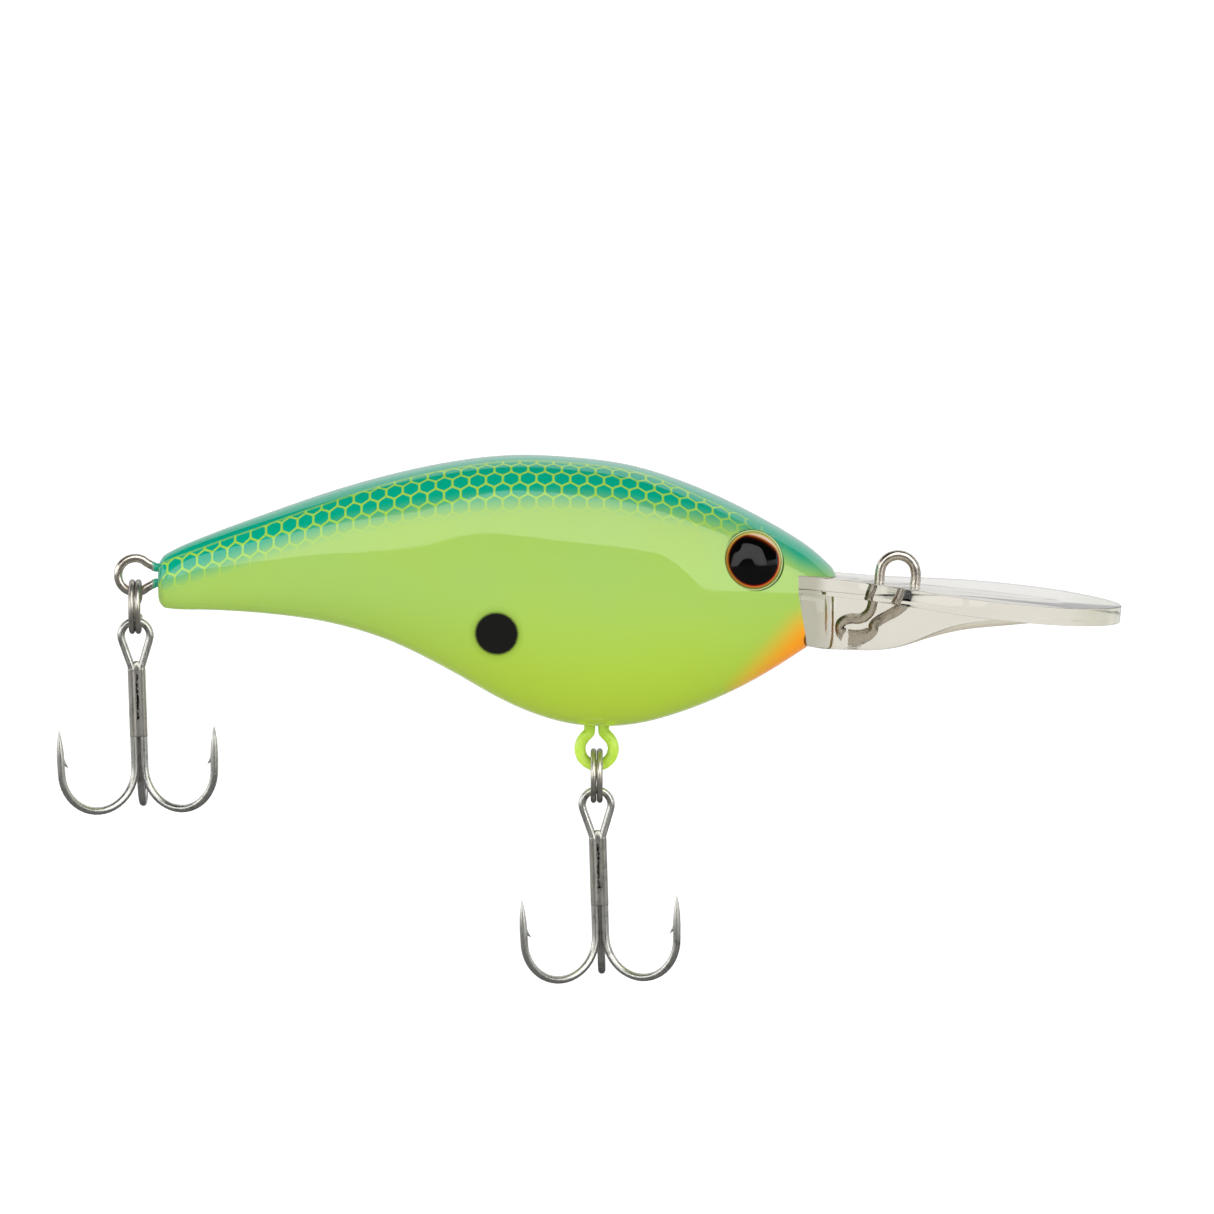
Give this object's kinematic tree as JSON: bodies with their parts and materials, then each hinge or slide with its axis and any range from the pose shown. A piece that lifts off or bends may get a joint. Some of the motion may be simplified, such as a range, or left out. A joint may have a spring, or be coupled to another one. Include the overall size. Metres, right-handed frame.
{
  "type": "crankbait fishing lure",
  "caption": "Deep-diving fish-shaped lure: hollow two-shell body with a clear diving lip, a wire line tie, glued eyes, inner balls, and treble hooks hung on split rings.",
  "frame": {"origin": "centre of the line tie's eye, on the middle plane", "axes": "+X towards the nose and lip tip, +Y the left flank, +Z the back; the hooks hang straight down"},
  "size_m": [0.1108, 0.025, 0.0552],
  "materials": {
    "shell_paint": "airbrushed chartreuse with a teal scaled back under a clear gloss coat",
    "clear_plastic": "clear moulded polycarbonate, polished",
    "stainless_wire": "bright drawn stainless wire",
    "hanger_paint": "wire painted over with the belly colour",
    "ring_nickel": "bright nickel plate",
    "hook_black_nickel": "black nickel plate, glossy",
    "hook_solder": "silver solder under the same black nickel plate, satin",
    "eye_foil": "printed foil, black pupil and amber to red rim",
    "eye_resin": "clear domed resin",
    "ball_steel": "polished bearing steel"
  },
  "bodies": {
    "lure_body": {"right_shell": "shell_paint", "left_shell": "shell_paint", "diving_lip": "clear_plastic", "line_tie": "stainless_wire", "belly_hanger": "hanger_paint", "tail_hanger": "stainless_wire", "right_eye_foil": "eye_foil", "right_eye_dome": "eye_resin", "left_eye_foil": "eye_foil", "left_eye_dome": "eye_resin", "front_ballast_ball": "ball_steel", "rear_ballast_ball": "ball_steel"},
    "belly_ring": {"belly_split_ring": "ring_nickel"},
    "belly_hook": {"belly_hook_double": "hook_black_nickel", "belly_hook_single": "hook_black_nickel", "belly_hook_braze": "hook_solder"},
    "tail_ring": {"tail_split_ring": "ring_nickel"},
    "tail_hook": {"tail_hook_double": "hook_black_nickel", "tail_hook_single": "hook_black_nickel", "tail_hook_braze": "hook_solder"},
    "front_rattle": {"front_rattle_ball": "ball_steel"},
    "middle_rattle": {"middle_rattle_ball": "ball_steel"},
    "rear_rattle": {"rear_rattle_ball": "ball_steel"}
  },
  "joints": [
    {"name": "belly_ring_swing", "type": "hinge", "parent": "lure_body", "child": "belly_ring", "pos_m": [-0.0314, 0, -0.02015], "axis": [1, 0, 0], "range_deg": [-80, 80]},
    {"name": "belly_hook_swing", "type": "hinge", "parent": "belly_ring", "child": "belly_hook", "pos_m": [-0.0314, 0, -0.02427], "axis": [0, 1, 0], "range_deg": [-73, 75]},
    {"name": "tail_ring_swing", "type": "hinge", "parent": "lure_body", "child": "tail_ring", "pos_m": [-0.0795, 0, -0.00201], "axis": [1, 0, 0], "range_deg": [-80, 80]},
    {"name": "tail_hook_swing", "type": "hinge", "parent": "tail_ring", "child": "tail_hook", "pos_m": [-0.0795, 0, -0.00654], "axis": [0, 1, 0], "range_deg": [-43, 80]},
    {"name": "front_rattle_slide", "type": "slide", "parent": "lure_body", "child": "front_rattle", "axis": [0, 1, 0], "range_m": [-0.0032, 0.0032]},
    {"name": "middle_rattle_slide", "type": "slide", "parent": "lure_body", "child": "middle_rattle", "axis": [0, 1, 0], "range_m": [-0.0026, 0.0026]},
    {"name": "rear_rattle_slide", "type": "slide", "parent": "lure_body", "child": "rear_rattle", "axis": [0, 1, 0], "range_m": [-0.0018, 0.0018]}
  ]
}
